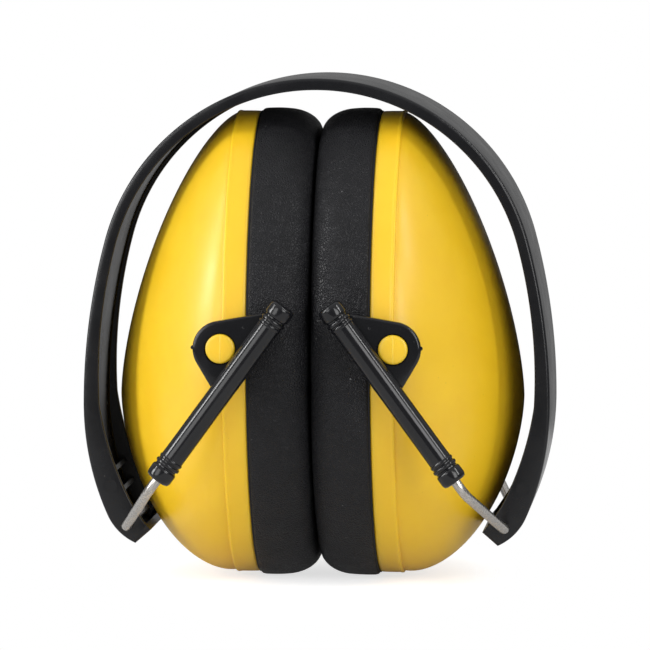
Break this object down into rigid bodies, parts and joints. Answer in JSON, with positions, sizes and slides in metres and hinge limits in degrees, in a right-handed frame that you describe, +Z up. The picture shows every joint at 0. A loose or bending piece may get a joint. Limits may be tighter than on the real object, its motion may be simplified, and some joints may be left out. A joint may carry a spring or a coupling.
{
  "type": "earmuff hearing protector",
  "caption": "Folding earmuff hearing protector: two yellow domed cups with black ring cushions on steel wire yokes, folded up inside a black channel headband.",
  "frame": {"origin": "under the middle of the folded muff, on the surface it stands on, where the two cushions meet", "axes": "+X to the right cup, +Y to the rear, +Z up to the headband's crown; stored folded"},
  "size_m": [0.1094, 0.104, 0.1182],
  "materials": {
    "black_plastic": "smooth satin-gloss black moulding",
    "steel_wire": "drawn steel wire with a soft sheen",
    "yellow_plastic": "glossy yellow moulding",
    "liner_foam": "open-cell dark grey foam",
    "plate_plastic": "plain black plastic",
    "cushion_foam": "soft foam",
    "cushion_skin": "black grained soft skin"
  },
  "bodies": {
    "band_crown": {"headband_crown": "black_plastic"},
    "left_band_arm": {"headband_left_arm": "black_plastic"},
    "left_yoke": {"left_yoke_wire": "steel_wire"},
    "left_sliders": {"left_front_slider": "black_plastic", "left_rear_slider": "black_plastic"},
    "left_cup": {"left_cup_shell": "yellow_plastic", "left_foam_liner": "liner_foam", "left_cushion_plate": "plate_plastic", "left_cushion_foam": "cushion_foam", "left_cushion_cover": "cushion_skin"},
    "right_band_arm": {"headband_right_arm": "black_plastic"},
    "right_yoke": {"right_yoke_wire": "steel_wire"},
    "right_sliders": {"right_front_slider": "black_plastic", "right_rear_slider": "black_plastic"},
    "right_cup": {"right_cup_shell": "yellow_plastic", "right_foam_liner": "liner_foam", "right_cushion_plate": "plate_plastic", "right_cushion_foam": "cushion_foam", "right_cushion_cover": "cushion_skin"}
  },
  "joints": [
    {"name": "left_arm_spread", "type": "hinge", "parent": "band_crown", "child": "left_band_arm", "pos_m": [-0.0217, 0, 0.11339], "axis": [0, 1, 0], "range_deg": [0, 40], "deforming": ["left_cushion_cover", "left_cushion_foam"]},
    {"name": "left_yoke_swing", "type": "hinge", "parent": "left_band_arm", "child": "left_yoke", "pos_m": [-0.0442, 0, 0.01348], "axis": [0, 1, 0], "range_deg": [0, 96]},
    {"name": "left_height_slide", "type": "slide", "parent": "left_yoke", "child": "left_sliders", "axis": [0.5894, 0, 0.8078], "range_m": [0, 0.008]},
    {"name": "left_cup_pivot", "type": "hinge", "parent": "left_sliders", "child": "left_cup", "pos_m": [-0.01985, 0, 0.0572], "axis": [0, -1, 0], "range_deg": [0, 136]},
    {"name": "right_arm_spread", "type": "hinge", "parent": "band_crown", "child": "right_band_arm", "pos_m": [0.0217, 0, 0.11339], "axis": [0, -1, 0], "range_deg": [0, 40], "deforming": ["right_cushion_cover", "right_cushion_foam"]},
    {"name": "right_yoke_swing", "type": "hinge", "parent": "right_band_arm", "child": "right_yoke", "pos_m": [0.0442, 0, 0.01348], "axis": [0, -1, 0], "range_deg": [0, 96]},
    {"name": "right_height_slide", "type": "slide", "parent": "right_yoke", "child": "right_sliders", "axis": [-0.5894, 0, 0.8078], "range_m": [0, 0.008]},
    {"name": "right_cup_pivot", "type": "hinge", "parent": "right_sliders", "child": "right_cup", "pos_m": [0.01985, 0, 0.0572], "axis": [0, 1, 0], "range_deg": [0, 136]}
  ],
  "couplings": [
    {"joint": "left_yoke_swing", "follows": "left_arm_spread", "ratio": 2.4},
    {"joint": "left_height_slide", "follows": "left_arm_spread", "m_per_rad": 0.011459},
    {"joint": "left_cup_pivot", "follows": "left_arm_spread", "ratio": 3.4},
    {"joint": "right_yoke_swing", "follows": "right_arm_spread", "ratio": 2.4},
    {"joint": "right_height_slide", "follows": "right_arm_spread", "m_per_rad": 0.011459},
    {"joint": "right_cup_pivot", "follows": "right_arm_spread", "ratio": 3.4}
  ]
}
